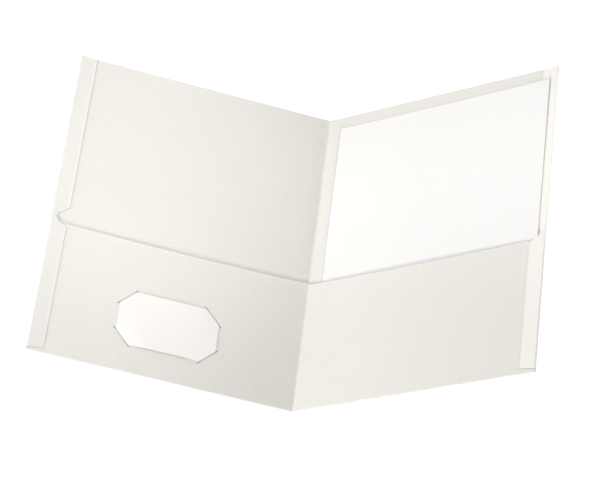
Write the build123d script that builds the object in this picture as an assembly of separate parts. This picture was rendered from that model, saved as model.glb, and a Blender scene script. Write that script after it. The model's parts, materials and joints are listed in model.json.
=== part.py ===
"""Two pocket folder for letter paper, die-cut from one sheet of embossed board and folded up.

The right half lies on the table and the left half stands open on the spine crease.
Origin: where the spine crease crosses the bottom crease, on the outside face of the right cover.
+X runs from the spine to the right cover's outer edge, +Y up the spine, +Z away from the table.
Every piece of a half is drawn lying flat on the right. The left ones are mirrored and turned up.
"""

from build123d import *
import os
from math import sqrt

# Board
board_thickness = 0.35
glue_film = 0.06

# Panels, measured from the spine crease and the bottom crease
cover_width = 235.5
cover_height = 296.0
pocket_depth = 124.0
pocket_room = 0.8

# How the folder stands open, and the room left between the two halves when it is shut
opening_angle = 130.0
closed_gap = 1.2

# Hem: the side flap that is folded over the cover above and over the pocket below
hem_width = 14.5
hem_end_rise = 1.8
fold_lead = 1.0
ramp_start = 3.0
ramp_length = 6.6

# Thumb notch in the hem at the pocket mouth, heights measured from the mouth
notch_height = 17.0
notch_reach = 12.4
notch_tip_height = 5.9
notch_tip_radius = 5.2
notch_drop = 3.1

# Bare corner under the hem, where the side flap is cut clear of the bottom crease
relief_height = 1.8
relief_gap = 0.3
relief_inset = 0.25

# Glue under the hem
glue_inset = 2.0

# Letter sheet in the right pocket, set in from the edges of its cover: 215.9 by 279.4
sheet_thickness = 0.1
sheet_from_spine = 12.5
sheet_from_edge = 7.1
sheet_from_top = 11.4
sheet_lift = 5.2

# Business card on the left pocket, held by its corners in four slits
card_width = 88.9
card_height = 50.8
card_thickness = 0.3
card_from_spine = 118.7
card_from_bottom = 50.4
card_clearance = 0.08
corner_leg = 12.5
slit_overrun = 3.0
slit_clearance = 0.15

# Heights of the layers, from the table up
upper_hem_level = board_thickness + glue_film
pocket_level = board_thickness + pocket_room
pocket_face = pocket_level + board_thickness
lower_hem_level = pocket_face + glue_film
stack_height = lower_hem_level + board_thickness
spine_axis_height = stack_height + closed_gap / 2

# Bends: each is a half ring whose outside spans the layers that it joins
bottom_bend_radius = pocket_face / 2
upper_bend_radius = (upper_hem_level + board_thickness) / 2
lower_bend_radius = stack_height / 2

# Edges of the panels, from the spine
flat_edge = cover_width - lower_bend_radius - fold_lead
hem_edge = cover_width - hem_width
corner_edge = cover_width - relief_inset
hem_bottom = relief_height + relief_gap
ramp_bottom = pocket_depth + ramp_start
ramp_top = ramp_bottom + ramp_length

spine_axis = Axis((0, 0, spine_axis_height), (0, 1, 0))
left_lift = 180.0 - opening_angle


def plate(outline, level, thickness):
    """A closed outline seen from above, made solid between two heights."""
    return Pos(0, 0, level) * extrude(make_face(Polyline(*outline, close=True)), amount=thickness)


def panel_outline(height):
    """A cover or pocket panel: full width at the bare bottom corner, up to the side fold above it."""
    return [
        (0, 0),
        (corner_edge, 0),
        (corner_edge, relief_height),
        (flat_edge, relief_height),
        (flat_edge, height),
        (0, height),
    ]


def cover_panel():
    """Flat cover, from the spine crease to the side fold."""
    return plate(panel_outline(cover_height), 0, board_thickness)


def pocket_panel():
    """Flat pocket front, turned up from the bottom crease."""
    return plate(panel_outline(pocket_depth), pocket_level, board_thickness)


def bottom_bend_section():
    """Half ring that joins the cover to the pocket below the bottom crease, in the Y-Z plane."""
    ring = Circle(bottom_bend_radius) - Circle(bottom_bend_radius - board_thickness)
    above = Rectangle(2 * bottom_bend_radius, 2 * bottom_bend_radius, align=(Align.MIN, Align.CENTER))
    return Pos(0, bottom_bend_radius) * (ring - above)


def bottom_fold():
    """Rolled bend along the foot of one half."""
    return extrude(Plane.YZ * bottom_bend_section(), amount=corner_edge)


def side_bend_section(radius, height):
    """Cover edge, half-round bend and hem edge, cut across the side fold at one height."""
    bend = cover_width - radius
    middle = radius
    inner = radius - board_thickness
    top = 2 * radius
    outside = [
        Line((flat_edge, 0), (bend, 0)),
        ThreePointArc((bend, 0), (cover_width, middle), (bend, top)),
        Line((bend, top), (flat_edge, top)),
        Line((flat_edge, top), (flat_edge, top - board_thickness)),
    ]
    inside = [
        Line((flat_edge, top - board_thickness), (bend, top - board_thickness)),
        ThreePointArc(
            (bend, top - board_thickness), (bend + inner, middle), (bend, board_thickness)
        ),
        Line((bend, board_thickness), (flat_edge, board_thickness)),
        Line((flat_edge, board_thickness), (flat_edge, 0)),
    ]
    return Plane.XZ.offset(-height) * make_face(outside + inside)


def side_fold():
    """Bend along the outer edge: wide round the pocket, narrowing to the bare cover above it."""
    around_pocket = extrude(
        side_bend_section(lower_bend_radius, hem_bottom), amount=hem_bottom - ramp_bottom
    )
    narrowing = loft(
        [
            side_bend_section(lower_bend_radius, ramp_bottom),
            side_bend_section(upper_bend_radius, ramp_top),
        ],
        ruled=True,
    )
    around_cover = extrude(
        side_bend_section(upper_bend_radius, ramp_top), amount=ramp_top - cover_height
    )
    return around_pocket + narrowing + around_cover


def hem_plan():
    """Hem seen from above: slanted foot, and a round-tipped thumb notch at the pocket mouth."""
    tip = (hem_edge + notch_reach, pocket_depth + notch_tip_height)
    outline = make_face(
        Polyline(
            (flat_edge, hem_bottom),
            (flat_edge, cover_height),
            (hem_edge, cover_height),
            (hem_edge, pocket_depth + notch_height),
            tip,
            (hem_edge, pocket_depth - notch_drop),
            (hem_edge, hem_bottom + hem_end_rise),
            close=True,
        )
    )
    tip_corner = outline.vertices().sort_by_distance(tip)[0]
    return fillet(tip_corner, notch_tip_radius)


def hem():
    """Side flap: lies on the cover above, climbs the pocket's edge, and lies on the pocket below."""
    profile = Polyline(
        (hem_bottom, lower_hem_level),
        (ramp_bottom, lower_hem_level),
        (ramp_top, upper_hem_level),
        (cover_height, upper_hem_level),
        (cover_height, upper_hem_level + board_thickness),
        (ramp_top, upper_hem_level + board_thickness),
        (ramp_bottom, lower_hem_level + board_thickness),
        (hem_bottom, lower_hem_level + board_thickness),
        close=True,
    )
    strip = extrude(Plane.YZ.offset(hem_edge) * make_face(profile), amount=flat_edge - hem_edge)
    return strip & extrude(hem_plan(), amount=stack_height)


def hem_between(bottom, top):
    """The length of hem between two heights above the bottom crease."""
    length = Box(cover_width, top - bottom, stack_height, align=Align.MIN)
    return hem() & Pos(0, bottom, 0) * length


def glue_strip(level, bottom, top):
    """Film of glue between the hem and the panel under it."""
    inner = hem_edge + glue_inset
    outline = [(inner, bottom), (flat_edge, bottom), (flat_edge, top), (inner, top)]
    return plate(outline, level, glue_film)


def cover_glue():
    """Glue that holds the upper hem to the cover, clear of the notch."""
    bottom = pocket_depth + max(notch_height, ramp_start + ramp_length) + glue_inset
    return glue_strip(board_thickness, bottom, cover_height - glue_inset)


def pocket_glue():
    """Glue that holds the lower hem to the pocket, which shuts the pocket's side."""
    return glue_strip(pocket_face, hem_bottom + hem_end_rise + glue_inset, pocket_depth - glue_inset)


def spine_crease():
    """Score through both layers of board: the open end of a half, turned about the spine axis."""
    cover_layer = Rectangle(cover_height, board_thickness, align=Align.MIN)
    pocket_layer = Pos(0, pocket_level) * Rectangle(pocket_depth, board_thickness, align=Align.MIN)
    section = cover_layer + pocket_layer + bottom_bend_section()
    return revolve(Plane.YZ * section, axis=spine_axis, revolution_arc=left_lift)


def letter_sheet():
    """One letter sheet, midway between the upper hem that it lies over and the pocket front."""
    lowest = upper_hem_level + board_thickness
    level = (lowest + pocket_level - sheet_thickness) / 2
    right = cover_width - sheet_from_edge
    top = cover_height - sheet_from_top
    outline = [
        (sheet_from_spine, sheet_lift),
        (right, sheet_lift),
        (right, top),
        (sheet_from_spine, top),
    ]
    return plate(outline, level, sheet_thickness)


# Tucked corners: the card steps down through each slit at 45 degrees, half before and half past it
card_level = pocket_face + card_clearance
tuck_level = pocket_level - card_clearance - card_thickness
tuck_step = card_level - tuck_level
slit_width = board_thickness + card_thickness + 2 * slit_clearance
slit_length = corner_leg * sqrt(2) + 2 * slit_overrun
slit_from_corner = corner_leg / sqrt(2)


def corner_frames():
    """One frame per card corner on its slit: local X points at the corner, local Y along the slit."""
    frames = []
    for side, end in ((1, 1), (-1, 1), (-1, -1), (1, -1)):
        corner = Vector(
            card_from_spine + side * card_width / 2, card_from_bottom + end * card_height / 2
        )
        outward = Vector(side, end).normalized()
        frames.append(Plane(corner - outward * slit_from_corner, x_dir=outward, z_dir=(0, 0, 1)))
    return frames


def card_outline():
    """The card's rectangle on the pocket."""
    return Pos(card_from_spine, card_from_bottom) * Rectangle(card_width, card_height)


def slit_pocket_panel():
    """Left pocket front, slit across the four corners of the card."""
    panel = pocket_panel()
    for frame in corner_frames():
        panel -= extrude(frame * Rectangle(slit_width, slit_length), amount=stack_height)
    return panel


def business_card():
    """Face of the card, which lies on the pocket between the slits."""
    face = card_outline()
    for frame in corner_frames():
        beyond = Rectangle(slit_from_corner + tuck_step, slit_length, align=(Align.MIN, Align.CENTER))
        face -= frame * Pos(-tuck_step / 2, 0) * beyond
    return Pos(0, 0, card_level) * extrude(face, amount=card_thickness)


def card_corners():
    """The four tucked corners: each steps down through its slit and lies behind the pocket front."""
    whole_card = extrude(card_outline(), amount=stack_height)
    step = Polyline(
        (-tuck_step / 2, card_level),
        (tuck_step / 2, tuck_level),
        (slit_from_corner, tuck_level),
        (slit_from_corner, tuck_level + card_thickness),
        (tuck_step / 2, tuck_level + card_thickness),
        (-tuck_step / 2, card_level + card_thickness),
        close=True,
    )
    corners = []
    for frame in corner_frames():
        across = frame * Plane.XZ * make_face(step)
        corners += (extrude(across, amount=slit_length / 2, both=True) & whole_card).solids()
    return Compound(corners)


def left(piece):
    """The same piece on the left half, turned up about the spine axis."""
    return mirror(piece, about=Plane.YZ).rotate(spine_axis, left_lift)


half_pieces = {
    "cover": cover_panel(),
    "upper_hem": hem_between(ramp_top, cover_height),
    "hem_neck": hem_between(ramp_bottom, ramp_top),
    "lower_hem": hem_between(hem_bottom, ramp_bottom),
    "edge_fold": side_fold(),
    "bottom_fold": bottom_fold(),
    "cover_glue": cover_glue(),
    "pocket_glue": pocket_glue(),
}

pieces = {
    "spine_crease": spine_crease(),
    "right_pocket": pocket_panel(),
    "left_pocket": left(slit_pocket_panel()),
    "letter_sheet": letter_sheet(),
    "business_card": left(business_card()),
    "card_corners": left(card_corners()),
}
for name, piece in half_pieces.items():
    pieces["right_" + name] = piece
    pieces["left_" + name] = left(piece)

os.makedirs("parts", exist_ok=True)
for name, piece in pieces.items():
    export_step(piece, f"parts/{name}.step")
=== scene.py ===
import json
import math

import bmesh
import bpy
from mathutils import Matrix, Quaternion, Vector


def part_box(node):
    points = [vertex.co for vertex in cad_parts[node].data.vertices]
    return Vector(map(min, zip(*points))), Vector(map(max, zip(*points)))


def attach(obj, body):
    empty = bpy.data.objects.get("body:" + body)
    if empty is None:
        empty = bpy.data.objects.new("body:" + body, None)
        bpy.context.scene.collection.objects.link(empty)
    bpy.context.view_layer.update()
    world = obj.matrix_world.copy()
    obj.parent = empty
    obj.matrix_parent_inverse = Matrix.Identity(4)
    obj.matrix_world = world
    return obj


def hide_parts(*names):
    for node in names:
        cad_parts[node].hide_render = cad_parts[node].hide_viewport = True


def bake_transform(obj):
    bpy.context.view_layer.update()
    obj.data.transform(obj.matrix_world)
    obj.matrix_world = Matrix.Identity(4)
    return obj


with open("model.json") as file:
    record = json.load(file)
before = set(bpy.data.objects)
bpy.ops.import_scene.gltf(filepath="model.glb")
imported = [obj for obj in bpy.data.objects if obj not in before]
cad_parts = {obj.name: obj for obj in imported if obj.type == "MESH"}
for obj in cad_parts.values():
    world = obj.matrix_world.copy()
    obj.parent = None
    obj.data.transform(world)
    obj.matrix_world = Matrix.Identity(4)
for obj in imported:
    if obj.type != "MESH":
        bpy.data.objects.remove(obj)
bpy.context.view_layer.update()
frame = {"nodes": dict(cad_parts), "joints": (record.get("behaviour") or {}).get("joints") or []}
mm = 0.001

# Covers: the two big outer panels of the folder, die-cut from one sheet of white folder board.
# The board is pressed with a fine leather grain before it is cut, and it is scored at the spine.
# The right cover lies on the table and carries everything else.
coarse_pebble = 3.4 * mm
coarse_wander = 3.0 * mm
coarse_share = 0.7
fine_pebble = 0.9 * mm
fine_wander = 0.5 * mm
pebble_crease = 0.22
waves_per_pebble = 0.35
grain_in_shade = 0.55
cover_grain_depth = 0.05 * mm


def noise(tree, scale, detail):
    """Soft cloudy pattern over the piece's own coordinates."""
    place = tree.nodes.new("ShaderNodeTexCoord")
    node = tree.nodes.new("ShaderNodeTexNoise")
    node.inputs["Scale"].default_value = scale
    node.inputs["Detail"].default_value = detail
    tree.links.new(place.outputs["Object"], node.inputs["Vector"])
    return node


def spread(tree, value, between, becomes):
    """A pattern's range stretched softly to another range."""
    node = tree.nodes.new("ShaderNodeMapRange")
    node.interpolation_type = "SMOOTHSTEP"
    node.inputs["From Min"].default_value = between[0]
    node.inputs["From Max"].default_value = between[1]
    node.inputs["To Min"].default_value = becomes[0]
    node.inputs["To Max"].default_value = becomes[1]
    tree.links.new(value, node.inputs["Value"])
    return node.outputs["Result"]


def math_node(tree, operation, first, second):
    """One sum or product of two patterns, or of a pattern and a number."""
    node = tree.nodes.new("ShaderNodeMath")
    node.operation = operation
    for socket, value in zip(node.inputs, (first, second)):
        if isinstance(value, (int, float)):
            socket.default_value = value
        else:
            tree.links.new(value, socket)
    return node.outputs["Value"]


def weighted(tree, first, second, share):
    """Two patterns added up, the first by its share and the second by the rest."""
    one = math_node(tree, "MULTIPLY", first, share)
    other = math_node(tree, "MULTIPLY", second, 1.0 - share)
    return math_node(tree, "ADD", one, other)


def two_tones(tree, value, dark, light):
    """Colour that follows a pattern from its dark tone to its light one."""
    ramp = tree.nodes.new("ShaderNodeValToRGB")
    ramp.color_ramp.elements[0].color = (*dark, 1.0)
    ramp.color_ramp.elements[1].color = (*light, 1.0)
    tree.links.new(value, ramp.inputs["Fac"])
    return ramp.outputs["Color"]


def paper_shader(name, sheen):
    """A matte paper surface with its own node tree, ready for colour, roughness and relief."""
    material = bpy.data.materials.new(name)
    material.use_nodes = True
    shader = material.node_tree.nodes["Principled BSDF"]
    shader.inputs["Specular IOR Level"].default_value = sheen
    return material, material.node_tree, shader


def relief(tree, shader, height, depth, strength):
    """Relief of a given depth, pressed into the surface."""
    bump = tree.nodes.new("ShaderNodeBump")
    bump.inputs["Distance"].default_value = depth
    bump.inputs["Strength"].default_value = strength
    tree.links.new(height, bump.inputs["Height"])
    tree.links.new(bump.outputs["Normal"], shader.inputs["Normal"])


def leather_grain(tree, pebble, wander):
    """Pebbles of pressed leather grain, 1 on their tops and 0 in the creases between them."""
    drift = noise(tree, scale=waves_per_pebble / pebble, detail=3.0)
    place = tree.nodes.new("ShaderNodeTexCoord")
    shift = tree.nodes.new("ShaderNodeVectorMath")
    shift.operation = "MULTIPLY_ADD"
    shift.inputs[1].default_value = (wander, wander, wander)
    tree.links.new(drift.outputs["Color"], shift.inputs[0])
    tree.links.new(place.outputs["Object"], shift.inputs[2])
    pebbles = tree.nodes.new("ShaderNodeTexVoronoi")
    pebbles.feature = "DISTANCE_TO_EDGE"
    pebbles.inputs["Scale"].default_value = 1.0 / pebble
    tree.links.new(shift.outputs["Vector"], pebbles.inputs["Vector"])
    return spread(tree, pebbles.outputs["Distance"], between=(0.0, pebble_crease), becomes=(0.0, 1.0))


def board_finish(name, grain_depth, dark, light):
    """White folder board: leather grain, a cloudy shade from the pulp, a dull sheen on the pebbles."""
    material, tree, shader = paper_shader(name, sheen=0.28)
    coarse = leather_grain(tree, coarse_pebble, coarse_wander)
    fine = leather_grain(tree, fine_pebble, fine_wander)
    height = weighted(tree, coarse, fine, coarse_share)
    pulp = noise(tree, scale=38.0, detail=4.0).outputs["Fac"]
    shade = weighted(tree, height, pulp, grain_in_shade)
    roughness = spread(tree, height, between=(0.0, 1.0), becomes=(0.72, 0.56))
    tree.links.new(two_tones(tree, shade, dark, light), shader.inputs["Base Color"])
    tree.links.new(roughness, shader.inputs["Roughness"])
    relief(tree, shader, height, grain_depth, strength=0.6)
    return material


def dress(node, finish):
    """A CAD node that keeps its shape gets its finish."""
    slots = frame["nodes"][node].data.materials
    slots.clear()
    slots.append(finish)


grained_board = board_finish(
    "grained_board", cover_grain_depth, dark=(0.805, 0.783, 0.735), light=(0.850, 0.829, 0.783)
)
dress("right_cover", grained_board)
dress("left_cover", grained_board)

# Bottom folds: the rounded bend along the foot of each half, where the board is scored and turned up
# to make the pocket. It is the same board as the covers, burnished by the folding rollers.
burnished_grain_depth = 0.025 * mm
burnished_board = board_finish(
    "burnished_board", burnished_grain_depth, dark=(0.825, 0.805, 0.758), light=(0.855, 0.836, 0.792)
)
dress("right_bottom_fold", burnished_board)
dress("left_bottom_fold", burnished_board)

# Spine: the scored crease that the left half turns on. The score leaves a rounded bead on the inside,
# through the cover and, below the pocket mouths, through the pocket fronts as well.
# It is the same board as both halves.
spine_fold = next(joint for joint in frame["joints"] if joint["name"] == "spine_fold")
spine_height = spine_fold["pos_m"][2]
left_lift = math.radians(-spine_fold["range_deg"][0])
cover_low, cover_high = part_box("right_cover")
board_thickness = cover_high.z - cover_low.z
pocket_low, pocket_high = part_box("right_pocket")
bead_height = 0.16 * mm
spine_steps = 14
foot_steps = 12
sharp_angle = math.radians(32)


def finished_piece(name, shell, *materials):
    """A closed shell as a finished object, smooth on its bends and sharp on its cut edges."""
    bmesh.ops.recalc_face_normals(shell, faces=shell.faces)
    mesh = bpy.data.meshes.new(name)
    shell.to_mesh(mesh)
    shell.free()
    for material in materials:
        mesh.materials.append(material)
    mesh.polygons.foreach_set("use_smooth", [True] * len(mesh.polygons))
    mesh.set_sharp_from_angle(angle=sharp_angle)
    piece = bpy.data.objects.new(name, mesh)
    bpy.context.scene.collection.objects.link(piece)
    return piece


def skin(shell, rings):
    """The faces between neighbouring rings of a sweep. Gives back the two caps that shut its ends."""
    for first, second in zip(rings, rings[1:]):
        for index in range(len(first)):
            shell.faces.new((first[index - 1], first[index], second[index], second[index - 1]))
    return [shell.faces.new(rings[0]), shell.faces.new(rings[-1][::-1])]


def foot_ring(radius):
    """Points of the bend under the bottom crease, from the cover round to the pocket front."""
    middle = pocket_high.z / 2
    turns = [math.pi * (step / foot_steps) for step in range(foot_steps + 1)]
    return [(-radius * math.sin(turn), middle - radius * math.cos(turn)) for turn in turns]


def spine_section():
    """The board cut across at the spine: up the outside, over the cover's top edge, and back inside."""
    outer = pocket_high.z / 2
    outside = foot_ring(outer)
    inside = foot_ring(outer - board_thickness)
    mouth = [(pocket_high.y, pocket_high.z), (pocket_high.y, pocket_low.z)]
    top = [(cover_high.y, board_thickness), (cover_high.y, 0.0)]
    return outside + mouth + inside[::-1] + top


def spine_crease():
    """The section swept round the spine axis from one half to the other, with the score's bead."""
    shell = bmesh.new()
    rings = []
    for step in range(spine_steps + 1):
        share = step / spine_steps
        turn = share * left_lift
        bead = bead_height * math.sin(math.pi * share) ** 2
        ring = []
        for up, lift in spine_section():
            reach = spine_height - lift - bead
            place = (-reach * math.sin(turn), up, spine_height - reach * math.cos(turn))
            ring.append(shell.verts.new(place))
        rings.append(ring)
    skin(shell, rings)
    return finished_piece("spine_crease_bead", shell, burnished_board)


crease = spine_crease()
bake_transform(crease)
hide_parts("spine_crease")

# Pocket fronts: the lower flap of the blank, turned up along the bottom crease to make a pocket.
# The same grained board, cut almost straight along the mouth, with a slight belly where it is not held.
# The left one has four slits, die-cut across the corners of the card.
pocket_belly = {"left": 0.3 * mm, "right": 1.1 * mm}
belly_rise = 3
mouth_dip = {"left": 1.8 * mm, "right": 2.2 * mm}
dip_rise = 8
# A band along each pocket's mouth is painted pale, as a painted highlight.
mouth_highlight_band = 1.1 * mm
# On the right, the top strip of that band is painted dark grey, as painted shade.
mouth_shade_band = {"left": 0.0, "right": 0.26 * mm}
hem_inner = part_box("right_lower_hem")[0].x
corner_relief_gap = 0.3 * mm
front_columns = 24
front_rows = 13
card_centre = Vector((118.7 * mm, 50.4 * mm))
card_size = Vector((88.9 * mm, 50.8 * mm))
corner_leg = 12.5 * mm
corner_ways = [(1, 1), (-1, 1), (-1, -1), (1, -1)]
slit_width = 0.95 * mm
slit_overrun = 3.0 * mm
slit_gape = 0.25 * mm
slit_end_steps = 6
edge_slot = 1
painted_shade_slot = 2


def plain_fibre_finish(name, dark, light):
    """Plain fibre, rough, with no grain: the raw edge where the die cut the board, and in other tones
    painted highlight and painted shade.
    """
    material, tree, shader = paper_shader(name, sheen=0.15)
    fibre = noise(tree, scale=5200.0, detail=3.0).outputs["Fac"]
    roughness = spread(tree, fibre, between=(0.2, 0.8), becomes=(0.85, 0.95))
    tree.links.new(two_tones(tree, fibre, dark, light), shader.inputs["Base Color"])
    tree.links.new(roughness, shader.inputs["Roughness"])
    relief(tree, shader, fibre, depth=0.03 * mm, strength=0.5)
    return material


def on_half(side, point):
    """A point drawn on the right half, lying flat, as it is on either half of the open folder."""
    if side == "right":
        return point
    mirrored = Vector((-point.x, point.y, point.z - spine_height))
    return Matrix.Rotation(left_lift, 3, "Y") @ mirrored + Vector((0.0, 0.0, spine_height))


def from_spine(side, point):
    """How far a point in place on one of the halves is from the spine, along that half."""
    if side == "right":
        return point.x
    return -(Matrix.Rotation(-left_lift, 3, "Y") @ (point - Vector((0.0, 0.0, spine_height)))).x


def sheet_piece(name, side, loops, lift, thickness, lines, face, edge):
    """A sheet cut to its outline, lifted into shape and given its thickness.

    Its loops are the outline and any holes, and its lines are where it may bend.
    """
    shell = bmesh.new()
    cuts = []
    for loop in loops:
        corners = [shell.verts.new((x, y, 0.0)) for x, y in loop]
        cuts += [shell.edges.new((corners[index - 1], corners[index])) for index in range(len(corners))]
    bmesh.ops.triangle_fill(shell, use_beauty=True, edges=cuts)
    for place, across in lines:
        everything = shell.verts[:] + shell.edges[:] + shell.faces[:]
        bmesh.ops.bisect_plane(shell, geom=everything, plane_co=(*place, 0.0), plane_no=(*across, 0.0))
    bmesh.ops.recalc_face_normals(shell, faces=shell.faces)
    if sum(one.normal.z for one in shell.faces) < 0.0:
        bmesh.ops.reverse_faces(shell, faces=shell.faces)
    rim = [one for one in shell.edges if one.is_boundary]
    under = {corner: shell.verts.new(corner.co) for corner in shell.verts[:]}
    for one in shell.faces[:]:
        shell.faces.new([under[corner] for corner in reversed(one.verts)])
    for one in rim:
        first, second = one.verts
        wall = shell.faces.new((first, second, under[second], under[first]))
        wall.material_index = edge_slot
    for corner, below in under.items():
        x, y, _ = corner.co
        level = lift(x, y)
        corner.co = on_half(side, Vector((x, y, level + thickness)))
        below.co = on_half(side, Vector((x, y, level)))
    return finished_piece(name, shell, face, edge)


def bend_line(place, along):
    """One bend line of a sheet, at a place along its width or its height."""
    if along == "x":
        return (place, 0.0), (1.0, 0.0)
    return (0.0, place), (0.0, 1.0)


def bend_lines(low, high, count, along):
    """Bend lines that part a stretch of a sheet evenly."""
    return [bend_line(low + (high - low) * step / count, along) for step in range(1, count)]


def clamped(share):
    """A share kept between 0 and 1."""
    return min(max(share, 0.0), 1.0)


def belly(side, x, y):
    """How far a pocket front stands out: nothing along its folds and hem, most at its mouth's middle."""
    across = math.sin(math.pi * clamped(x / hem_inner))
    return pocket_belly[side] * across * clamped(y / pocket_high.y) ** belly_rise


def dip(side, x, y):
    """How far a pocket front is cut down: nothing at the ends of its mouth, most at the middle."""
    across = math.sin(math.pi * clamped(x / hem_inner))
    return mouth_dip[side] * across * clamped(y / pocket_high.y) ** dip_rise


def slit_frame(way_x, way_y):
    """Middle of one slit, the way out to the card's corner, and the way along the slit."""
    outward = Vector((way_x, way_y)).normalized()
    corner = card_centre + Vector((way_x * card_size.x / 2, way_y * card_size.y / 2))
    return corner - outward * (corner_leg / math.sqrt(2.0)), outward, Vector((-outward.y, outward.x))


def slit_outline(way_x, way_y):
    """One slit as a narrow slot with round ends, sprung open on its outer side by the corner in it."""
    middle, outward, along = slit_frame(way_x, way_y)
    middle = middle + outward * (slit_gape / 2)
    radius = (slit_width + slit_gape) / 2
    reach = corner_leg / math.sqrt(2.0) + slit_overrun - radius
    points = []
    for way in (1.0, -1.0):
        for step in range(slit_end_steps + 1):
            turn = math.pi * step / slit_end_steps
            across = math.cos(turn) * way * radius
            points.append(middle + along * way * (reach + radius * math.sin(turn)) + outward * across)
    return [tuple(point) for point in points]


def pocket_outline():
    """A pocket front laid flat: full width at the bare bottom corner, and up to the bend above it."""
    hem_low, hem_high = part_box("right_lower_hem")
    relief_top = hem_low.y - corner_relief_gap
    return [
        (0.0, 0.0),
        (pocket_high.x, 0.0),
        (pocket_high.x, relief_top),
        (hem_high.x, relief_top),
        (hem_high.x, pocket_high.y),
        (0.0, pocket_high.y),
    ]


def pocket_front(side, slits):
    """One pocket front with its belly and slits, a pale painted highlight band along its mouth, and on
    the right a painted shade line there.
    """
    lines = bend_lines(0.0, pocket_high.x, front_columns, "x")
    lines += bend_lines(0.0, pocket_high.y, front_rows, "y")
    lines.append(bend_line(pocket_high.y - mouth_highlight_band, "y"))
    if mouth_shade_band[side]:
        lines.append(bend_line(pocket_high.y - mouth_shade_band[side], "y"))
    front = sheet_piece(
        f"{side}_pocket_front",
        side,
        [pocket_outline(), *slits],
        lambda x, y: pocket_low.z + belly(side, x, y),
        board_thickness,
        lines,
        grained_board,
        edge_and_highlight_finish,
    )
    if mouth_shade_band[side]:
        front.data.materials.append(painted_shade_edge)
    # Along the mouth the faces are painted: the pale band as a painted highlight, its right top strip as
    # painted shade.
    for one in front.data.polygons:
        from_mouth = pocket_high.y - one.center.y
        if from_mouth < mouth_highlight_band:
            one.material_index = edge_slot
        if 0.0 < from_mouth < mouth_shade_band[side]:
            one.material_index = painted_shade_slot
    for corner in front.data.vertices:
        corner.co.y -= dip(side, from_spine(side, corner.co), corner.co.y)
    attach(front, f"{side}_half")
    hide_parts(f"{side}_pocket")


# The pale cut-edge finish also paints the highlight band along the mouths.
edge_and_highlight_finish = plain_fibre_finish("board_edge_and_painted_highlight", dark=(0.87, 0.86, 0.83), light=(0.94, 0.93, 0.90))
# The dark grey is painted shade: it draws the fine dark line along a cut edge as colour. The
# grey stands for the fine dark line along a cut edge, which may be a burr or only shade.
painted_shade_edge = plain_fibre_finish("board_painted_shade", dark=(0.16, 0.155, 0.145), light=(0.24, 0.235, 0.22))
pocket_front("right", [])
pocket_front("left", [slit_outline(way_x, way_y) for way_x, way_y in corner_ways])

# Hems: the side flaps of the blank, turned over and glued down. Above the pocket mouth each lies on its
# cover, below it on the pocket front, which shuts the pocket's side. A thumb notch parts the two.
# They show the outer side of the board, taken as smoother. Their cut edges are painted dark grey, as
# painted shade for the fine line along them.
lower_low, lower_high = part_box("right_lower_hem")
upper_low, upper_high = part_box("right_upper_hem")
neck_low, neck_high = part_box("right_hem_neck")
notch_height = 17.0 * mm
notch_reach = 12.4 * mm
notch_tip_height = 5.9 * mm
notch_tip_radius = 5.2 * mm
notch_drop = 3.1 * mm
notch_steps = 14
hem_end_rise = 1.8 * mm
long_ramp = 7.0 * mm
ramp_bottom = neck_low.y - long_ramp
ramp_top = neck_high.y + long_ramp
ramp_rows = 24
lower_rows = 12
upper_rows = 16
free_margin = 2.0 * mm
free_zone = 2.5 * mm
free_columns = 5
neck_lead = 0.8 * mm
neck_columns = 6
lower_edge_lift = {"left": 0.20 * mm, "right": 0.12 * mm}
upper_edge_lift = {"left": 0.34 * mm, "right": 0.12 * mm}
hem_grain_depth = 0.018 * mm
# Both hems are the same board. The right one is painted lighter, as painted light that brightens it
# beyond what the lamps give.
hem_board = {
    "left": board_finish(
        "left_hem_board", hem_grain_depth, dark=(0.815, 0.794, 0.748), light=(0.840, 0.820, 0.776)
    ),
    "right": board_finish(
        "right_hem_board_painted_lighter", hem_grain_depth, dark=(0.940, 0.912, 0.862), light=(0.962, 0.936, 0.888)
    ),
}


def eased(share):
    """A share kept between 0 and 1 that starts and ends softly."""
    share = clamped(share)
    return share * share * (3.0 - 2.0 * share)


def rounded_corner(before, corner, after, radius, steps):
    """Points of the arc that rounds one corner of an outline."""
    to_before = (before - corner).normalized()
    to_after = (after - corner).normalized()
    half = to_before.angle(to_after) / 2
    middle = corner + (to_before + to_after).normalized() * (radius / math.sin(half))
    first = corner + to_before * (radius / math.tan(half)) - middle
    last = corner + to_after * (radius / math.tan(half)) - middle
    sweep = -first.angle_signed(last)
    return [middle + Matrix.Rotation(sweep * step / steps, 2) @ first for step in range(steps + 1)]


def hem_outline():
    """The hem laid flat, with its slanted foot and its thumb notch."""
    mouth = pocket_high.y
    outer = lower_high.x
    above = Vector((hem_inner, mouth + notch_height))
    tip = Vector((hem_inner + notch_reach, mouth + notch_tip_height))
    below = Vector((hem_inner, mouth - notch_drop))
    notch = rounded_corner(above, tip, below, notch_tip_radius, notch_steps)
    corners = [(outer, lower_low.y), (outer, upper_high.y), (hem_inner, upper_high.y), tuple(above)]
    corners += [tuple(point) for point in notch]
    return corners + [tuple(below), (hem_inner, lower_low.y + hem_end_rise)]


def hem_lift(side, x, y):
    """Height of the hem's underside, down from pocket front to cover, gentlest at the outer edge."""
    outward = eased((x - neck_low.x) / (lower_high.x - neck_low.x))
    start = neck_low.y - long_ramp * outward
    end = neck_high.y + long_ramp * outward
    drop = eased((y - start) / (end - start))
    loose = max(1.0 - (x - hem_inner) / free_margin, 0.0)
    spring = lower_edge_lift[side] + (upper_edge_lift[side] - lower_edge_lift[side]) * drop
    return lower_low.z + (upper_low.z - lower_low.z) * drop + spring * loose * loose


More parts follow.
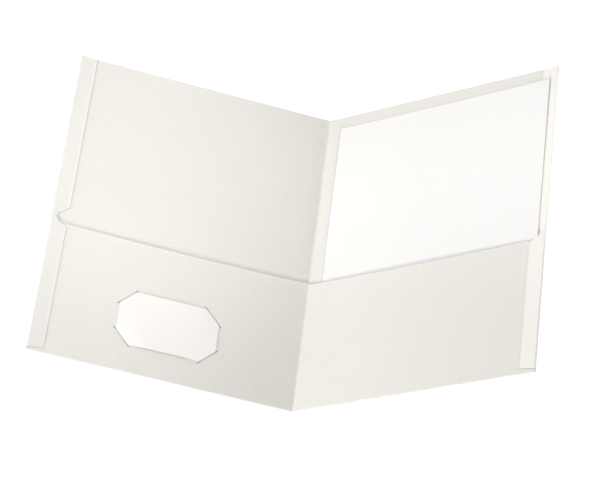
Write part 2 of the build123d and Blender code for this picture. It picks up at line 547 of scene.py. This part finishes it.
def hem(side):
    """One hem in place on its half."""
    lines = bend_lines(ramp_bottom, ramp_top, ramp_rows, "y")
    lines += bend_lines(lower_low.y, ramp_bottom, lower_rows, "y")
    lines += bend_lines(ramp_top, upper_high.y, upper_rows, "y")
    lines += bend_lines(hem_inner, hem_inner + free_zone, free_columns, "x")
    lines += bend_lines(neck_low.x - neck_lead, lower_high.x, neck_columns, "x")
    # Its cut walls are painted dark grey, as painted shade.
    strip = sheet_piece(
        f"{side}_hem",
        side,
        [hem_outline()],
        lambda x, y: hem_lift(side, x, y),
        board_thickness,
        lines,
        hem_board[side],
        painted_shade_edge,
    )
    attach(strip, f"{side}_half")
    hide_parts(f"{side}_upper_hem", f"{side}_hem_neck", f"{side}_lower_hem")


hem("right")
hem("left")

# Edge bends: where each hem turns over from its cover, a scored bend along the outer edge of the half.
# It is wide round the pocket and narrows, with the hem, to a tight fold round the bare cover.
edge_low, edge_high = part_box("right_edge_fold")
edge_bend_steps = 12


def edge_bend_section(y):
    """The bend cut across: the edge of the cover, the outside of the bend, and back along the inside."""
    flat = lower_high.x
    top = hem_lift("right", flat, y) + board_thickness
    middle = top / 2
    bend = edge_high.x - middle
    turns = [math.pi * step / edge_bend_steps for step in range(edge_bend_steps + 1)]
    around = [(math.sin(turn), -math.cos(turn)) for turn in turns]
    inner = middle - board_thickness
    outside = [(bend + middle * out, middle + middle * up) for out, up in around]
    inside = [(bend + inner * out, middle + inner * up) for out, up in around]
    hem_end = [(flat, top), (flat, top - board_thickness)]
    return [(flat, 0.0), *outside, *hem_end, *inside[::-1], (flat, board_thickness)]


def edge_bend(side):
    """The bend swept up one outer edge."""
    ramp = [ramp_bottom + (ramp_top - ramp_bottom) * step / ramp_rows for step in range(ramp_rows + 1)]
    shell = bmesh.new()
    rings = []
    for y in [edge_low.y, *ramp, edge_high.y]:
        ring = [shell.verts.new(on_half(side, Vector((x, y, z)))) for x, z in edge_bend_section(y)]
        rings.append(ring)
    for cap in skin(shell, rings):
        cap.material_index = edge_slot
    # The bend takes its hem's tone; on the right that is painted lighter, as painted light.
    roll = finished_piece(f"{side}_edge_bend", shell, hem_board[side], edge_and_highlight_finish)
    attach(roll, f"{side}_half")
    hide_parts(f"{side}_edge_fold")


edge_bend("right")
edge_bend("left")

# Glue: four thin strips of white glue, rolled on and dried under the pressed hems.
# Two hold each hem, one to the cover and one to the pocket front, and only their edges can be seen.


def dried_glue_finish():
    """Dried white glue: a slightly shiny film, a little yellow, with a faint cloud."""
    material, tree, shader = paper_shader("dried_glue", sheen=0.4)
    cloud = noise(tree, scale=900.0, detail=3.0).outputs["Fac"]
    roughness = spread(tree, cloud, between=(0.2, 0.8), becomes=(0.35, 0.55))
    tone = two_tones(tree, cloud, dark=(0.80, 0.78, 0.72), light=(0.88, 0.86, 0.81))
    tree.links.new(tone, shader.inputs["Base Color"])
    tree.links.new(roughness, shader.inputs["Roughness"])
    relief(tree, shader, cloud, depth=0.02 * mm, strength=0.5)
    return material


dried_glue = dried_glue_finish()
for node in ("right_cover_glue", "right_pocket_glue", "left_cover_glue", "left_pocket_glue"):
    dress(node, dried_glue)

# Letter sheet: one sheet of smooth white office paper, stood in the right pocket.
# It lies on the cover and its outer edge climbs over the hem. Above the pocket its edges are free and
# curl up a little, most along the inner edge.
sheet_low, sheet_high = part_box("letter_sheet")
paper_rest = 0.07 * mm
paper_thickness = sheet_high.z - sheet_low.z
climb_start = sheet_high.x - 26.0 * mm
climb_end = sheet_high.x - 6.5 * mm
climb_columns = 16
sheet_rows = 24
inner_curl = 1.2 * mm
outer_curl = 0.25 * mm
curl_width = 16.0 * mm
curl_zone = 17.6 * mm
curl_columns = 10
corner_curl = 0.45 * mm
corner_reach = 120.0 * mm
corner_columns = 8
curl_start = pocket_high.y + 4.0 * mm
curl_full = pocket_high.y + 40.0 * mm
# A band this wide round the sheet's rim is painted grey, as painted shade.
shade_rim_width = 0.9 * mm
rim_painted_shade = (0.58, 0.57, 0.55)
fibre_share = 0.4


def with_painted_shade_lines(tree, colour, grey):
    """A colour with painted shade: it turns grey along the lines that a piece carries in its own
    attribute.
    """
    lines = tree.nodes.new("ShaderNodeAttribute")
    lines.attribute_name = "painted_shade_line"
    mix = tree.nodes.new("ShaderNodeMix")
    mix.data_type = "RGBA"
    share, plain, shaded = mix.inputs[0], mix.inputs[6], mix.inputs[7]
    tree.links.new(lines.outputs["Fac"], share)
    tree.links.new(colour, plain)
    shaded.default_value = (*grey, 1.0)
    return mix.outputs[2]


def mark_painted_shade_lines(piece, is_shaded):
    """Marks a piece's vertices that lie on its lines of painted shade."""
    values = piece.data.attributes.new("painted_shade_line", "FLOAT", "POINT").data
    for corner, value in zip(piece.data.vertices, values):
        value.value = 1.0 if is_shaded(corner.co) else 0.0


def office_paper_finish():
    """Bright smooth paper with a faint cloud of fibres, and a grey line of painted shade round its rim.
    """
    material, tree, shader = paper_shader("office_paper", sheen=0.22)
    fibre = noise(tree, scale=1500.0, detail=6.0).outputs["Fac"]
    cloud = noise(tree, scale=90.0, detail=3.0).outputs["Fac"]
    tone = weighted(tree, fibre, cloud, fibre_share)
    paper = two_tones(tree, tone, dark=(0.912, 0.904, 0.888), light=(0.936, 0.928, 0.912))
    roughness = spread(tree, fibre, between=(0.2, 0.8), becomes=(0.7, 0.82))
    tree.links.new(with_painted_shade_lines(tree, paper, rim_painted_shade), shader.inputs["Base Color"])
    tree.links.new(roughness, shader.inputs["Roughness"])
    relief(tree, shader, fibre, depth=0.006 * mm, strength=0.5)
    return material


def on_sheet_shade_rim(point):
    """Whether a point of the sheet lies on its rim, where the painted shade line goes."""
    inset_x = min(point.x - sheet_low.x, sheet_high.x - point.x)
    inset_y = min(point.y - sheet_low.y, sheet_high.y - point.y)
    return min(inset_x, inset_y) < shade_rim_width / 2


def sheet_lift(x, y):
    """Height of the sheet's underside: on the cover, up over the hem, and curled along its free edges."""
    climb = eased((x - climb_start) / (climb_end - climb_start))
    inner = inner_curl * max(1.0 - (x - sheet_low.x) / curl_width, 0.0) ** 2
    outer = outer_curl * max(1.0 - (sheet_high.x - x) / curl_width, 0.0) ** 2
    from_corner = (sheet_high.x - x) + (sheet_high.y - y)
    corner = corner_curl * max(1.0 - from_corner / corner_reach, 0.0) ** 2
    curl = (inner + outer + corner) * eased((y - curl_start) / (curl_full - curl_start))
    return (board_thickness + paper_rest) * (1.0 - climb) + sheet_low.z * climb + curl


office_paper = office_paper_finish()
sheet_outline = [
    (sheet_low.x, sheet_low.y),
    (sheet_high.x, sheet_low.y),
    (sheet_high.x, sheet_high.y),
    (sheet_low.x, sheet_high.y),
]
sheet_lines = bend_lines(climb_start, climb_end, climb_columns, "x")
sheet_lines += bend_lines(sheet_low.y, sheet_high.y, sheet_rows, "y")
sheet_lines += bend_lines(sheet_low.x, sheet_low.x + curl_zone, curl_columns, "x")
sheet_lines += bend_lines(sheet_high.x - corner_reach, climb_start, corner_columns, "x")
for bend in (climb_start, climb_end, sheet_low.x + shade_rim_width, sheet_high.x - shade_rim_width):
    sheet_lines.append(bend_line(bend, "x"))
for bend in (sheet_low.y + shade_rim_width, sheet_high.y - shade_rim_width):
    sheet_lines.append(bend_line(bend, "y"))
letter = sheet_piece(
    "blank_letter_sheet",
    "right",
    [sheet_outline],
    sheet_lift,
    paper_thickness,
    sheet_lines,
    office_paper,
    office_paper,
)
mark_painted_shade_lines(letter, on_sheet_shade_rim)
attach(letter, "sheet")
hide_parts("letter_sheet")

# Business card: one blank card of stiff smooth stock. Its four corners go down through the slits and
# lie behind the pocket front, which holds it.
# Its face bows out a little between them, most at the foot.
card_thickness = 0.3 * mm
card_clearance = 0.08 * mm
card_bow = 1.4 * mm
bow_lean = 0.75
bow_reach = 13.0 * mm
card_columns = 16
card_rows = 10
tuck_room = 0.46 * mm
tuck_step = board_thickness + card_thickness + tuck_room
tuck_run = 0.42 * mm
tuck_start = slit_width / 2
tuck_quarters = (0, 1, 2, 3, 4, 6)
# Where each corner bends down through its slit, a grey band is painted, as painted shade.
bend_painted_shade = (0.64, 0.625, 0.60)
shade_middle = 0.6
shade_half_width = 0.5


def card_stock_finish():
    """Stiff white card, calendered smooth, with a faint cloud, and grey lines of painted shade where its
    corners bend.
    """
    material, tree, shader = paper_shader("card_stock", sheen=0.3)
    cloud = noise(tree, scale=260.0, detail=5.0).outputs["Fac"]
    face = two_tones(tree, cloud, dark=(0.957, 0.934, 0.893), light=(0.977, 0.954, 0.913))
    roughness = spread(tree, cloud, between=(0.2, 0.8), becomes=(0.55, 0.66))
    tree.links.new(with_painted_shade_lines(tree, face, bend_painted_shade), shader.inputs["Base Color"])
    tree.links.new(roughness, shader.inputs["Roughness"])
    relief(tree, shader, cloud, depth=0.008 * mm, strength=0.5)
    return material


def inside_slits(place):
    """How far inside the nearest slit a point of the card is."""
    inward = card_size.x
    for way_x, way_y in corner_ways:
        middle, outward, _ = slit_frame(way_x, way_y)
        inward = min(inward, (middle - place).dot(outward))
    return inward


def tuck(place):
    """How far a point of the card is down its slit: 0 where the bend starts and 1 where it ends."""
    return (tuck_start - inside_slits(place)) / tuck_run


def on_card_shaded_bend(point):
    """Whether a point of the card lies where a corner bends down through its slit, which is painted grey
    as painted shade.
    """
    place = Vector((from_spine("left", point), point.y))
    return abs(tuck(place) - shade_middle) < shade_half_width


def card_lift(x, y):
    """Height of the card's underside: bowed on the pocket front, and stepped down through each slit."""
    place = Vector((x, y))
    up = (y - card_centre.y) / card_size.y + 0.5
    bow = card_bow * (1.0 - bow_lean * up) * eased(inside_slits(place) / bow_reach)
    level = pocket_high.z + belly("left", x, y) + card_clearance + bow
    return level - tuck_step * clamped(tuck(place))


card_low = card_centre - card_size / 2
card_high = card_centre + card_size / 2
card_outline = [
    (card_high.x, card_high.y),
    (card_low.x, card_high.y),
    (card_low.x, card_low.y),
    (card_high.x, card_low.y),
]
card_lines = bend_lines(card_low.x, card_high.x, card_columns, "x")
card_lines += bend_lines(card_low.y, card_high.y, card_rows, "y")
for way_x, way_y in corner_ways:
    slit_middle, slit_outward, _ = slit_frame(way_x, way_y)
    for quarter in tuck_quarters:
        past = tuck_run * quarter / 4 - tuck_start
        card_lines.append((tuple(slit_middle + slit_outward * past), tuple(slit_outward)))
card_stock = card_stock_finish()
card = sheet_piece(
    "blank_business_card",
    "left",
    [card_outline],
    card_lift,
    card_thickness,
    card_lines,
    card_stock,
    card_stock,
)
mark_painted_shade_lines(card, on_card_shaded_bend)
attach(card, "card")
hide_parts("business_card", "card_corners")

# Table: a plain white sweep under the folder, just below its outside face.
# Seen by the camera it glows, so that it stays white and still keeps the folder's shadow.
sweep_size = 8.0
sweep_drop = 0.05 * mm
sweep_grey = 0.82
seen_grey = 0.34
seen_glow = 0.82


def matte(tree, grey):
    """A plain matte grey shader."""
    shader = tree.nodes.new("ShaderNodeBsdfDiffuse")
    shader.inputs["Color"].default_value = (grey, grey, grey, 1.0)
    return shader.outputs[0]


def white_sweep_finish():
    """Matte grey for the light that falls on the folder, and a glowing white where it is looked at."""
    material = bpy.data.materials.new("white_sweep")
    material.use_nodes = True
    tree = material.node_tree
    tree.nodes.clear()
    glow = tree.nodes.new("ShaderNodeEmission")
    glow.inputs["Strength"].default_value = seen_glow
    looked_at = tree.nodes.new("ShaderNodeAddShader")
    tree.links.new(matte(tree, seen_grey), looked_at.inputs[0])
    tree.links.new(glow.outputs[0], looked_at.inputs[1])
    rays = tree.nodes.new("ShaderNodeLightPath").outputs
    seen = math_node(tree, "MAXIMUM", rays["Is Camera Ray"], rays["Is Glossy Ray"])
    seen = math_node(tree, "MAXIMUM", seen, rays["Is Transmission Ray"])
    pick = tree.nodes.new("ShaderNodeMixShader")
    tree.links.new(seen, pick.inputs["Fac"])
    tree.links.new(matte(tree, sweep_grey), pick.inputs[1])
    tree.links.new(looked_at.outputs[0], pick.inputs[2])
    output = tree.nodes.new("ShaderNodeOutputMaterial")
    tree.links.new(pick.outputs[0], output.inputs["Surface"])
    return material


bpy.ops.mesh.primitive_plane_add(size=sweep_size, location=(0.0, 0.0, -sweep_drop))
floor = bpy.context.object
floor.name = "white_sweep"
floor.data.materials.append(white_sweep_finish())

# Studio: an even white room with soft lamps on every side of the folder and one above it.
# Three soft spots light the outer part of the left half, and one the sheet's outer part.
room_white = (1.0, 1.0, 1.0, 1.0)
room_strength = 0.13
room_seen_strength = 1.0
spot_softness = 0.06

world = bpy.data.worlds.new("white_room")
bpy.context.scene.world = world
world.use_nodes = True
room = world.node_tree
room_light = room.nodes["Background"]
room_light.inputs["Color"].default_value = room_white
room_light.inputs["Strength"].default_value = room_strength
room_seen = room.nodes.new("ShaderNodeBackground")
room_seen.inputs["Color"].default_value = room_white
room_seen.inputs["Strength"].default_value = room_seen_strength
room_rays = room.nodes.new("ShaderNodeLightPath")
room_pick = room.nodes.new("ShaderNodeMixShader")
room.links.new(room_rays.outputs["Is Camera Ray"], room_pick.inputs["Fac"])
room.links.new(room_light.outputs[0], room_pick.inputs[1])
room.links.new(room_seen.outputs[0], room_pick.inputs[2])
room.links.new(room_pick.outputs[0], room.nodes["World Output"].inputs["Surface"])


def hang_lamp(name, data, place, aim):
    """A lamp in its place, turned to look at a point of the folder."""
    lamp = bpy.data.objects.new(name, data)
    lamp.location = place
    lamp.rotation_euler = (Vector(aim) - Vector(place)).to_track_quat("-Z", "Y").to_euler()
    bpy.context.scene.collection.objects.link(lamp)


def soft_lamp(name, place, aim, size, power):
    """A square soft lamp that looks at a point of the folder."""
    data = bpy.data.lights.new(name, "AREA")
    data.shape = "SQUARE"
    data.size = size
    data.energy = power
    hang_lamp(name, data, place, aim)


def soft_spot(name, place, aim, cone, power):
    """A spot with a soft rim that lights one part of the folder."""
    data = bpy.data.lights.new(name, "SPOT")
    data.spot_size = math.radians(cone)
    data.spot_blend = 1.0
    data.shadow_soft_size = spot_softness
    data.energy = power
    hang_lamp(name, data, place, aim)


soft_lamp("front_lamp", place=(0.02, -0.80, 0.42), aim=(0.02, 0.13, 0.03), size=0.14, power=5.4)
soft_lamp("right_lamp", place=(0.70, 0.20, 0.33), aim=(0.05, 0.15, 0.0), size=0.10, power=1.25)
soft_lamp("top_lamp", place=(-0.25, 0.15, 0.77), aim=(-0.02, 0.14, 0.05), size=0.16, power=1.8)
soft_lamp("back_lamp", place=(0.05, 0.70, 0.35), aim=(0.06, 0.14, 0.03), size=0.22, power=1.1)
soft_lamp("left_lamp", place=(-0.48, -0.05, 0.58), aim=(0.10, 0.13, 0.0), size=0.20, power=1.5)
soft_spot("right_spot", place=(0.55, 0.25, 0.75), aim=(-0.102, 0.20, 0.124), cone=26.0, power=6.4)
soft_spot("front_spot", place=(0.30, -0.55, 0.80), aim=(-0.105, 0.19, 0.125), cone=26.0, power=2.7)
soft_spot("corner_spot", place=(0.35, -0.45, 0.70), aim=(-0.130, 0.035, 0.155), cone=21.0, power=3.1)
soft_spot("sheet_spot", place=(0.60, 0.15, 0.62), aim=(0.190, 0.210, 0.0), cone=21.0, power=2.8)

# Camera: a long lens from above the lower right corner, as the folder was photographed.
# It is rolled about its line of sight, so that the spine stands almost upright in the picture.
lens_in_pixels = 2343.04
picture_width = 600.0
sensor_width = 36.0
camera_place = Vector((1.087734, -0.838322, 1.486729))
camera_aim = Vector((-0.016562, 0.165068, 0.0))
camera_roll = math.radians(-49.71355)
camera_reach = 20.0

camera_data = bpy.data.cameras.new("camera")
camera_data.sensor_width = sensor_width
camera_data.sensor_fit = "HORIZONTAL"
camera_data.lens = lens_in_pixels / picture_width * sensor_width
camera_data.clip_end = camera_reach
camera = bpy.data.objects.new("camera", camera_data)
line_of_sight = (camera_aim - camera_place).to_track_quat("-Z", "Y")
camera.rotation_euler = (line_of_sight @ Quaternion((0.0, 0.0, 1.0), camera_roll)).to_euler()
camera.location = camera_place
bpy.context.scene.collection.objects.link(camera)
bpy.context.scene.camera = camera
bpy.context.scene.view_settings.view_transform = "Standard"
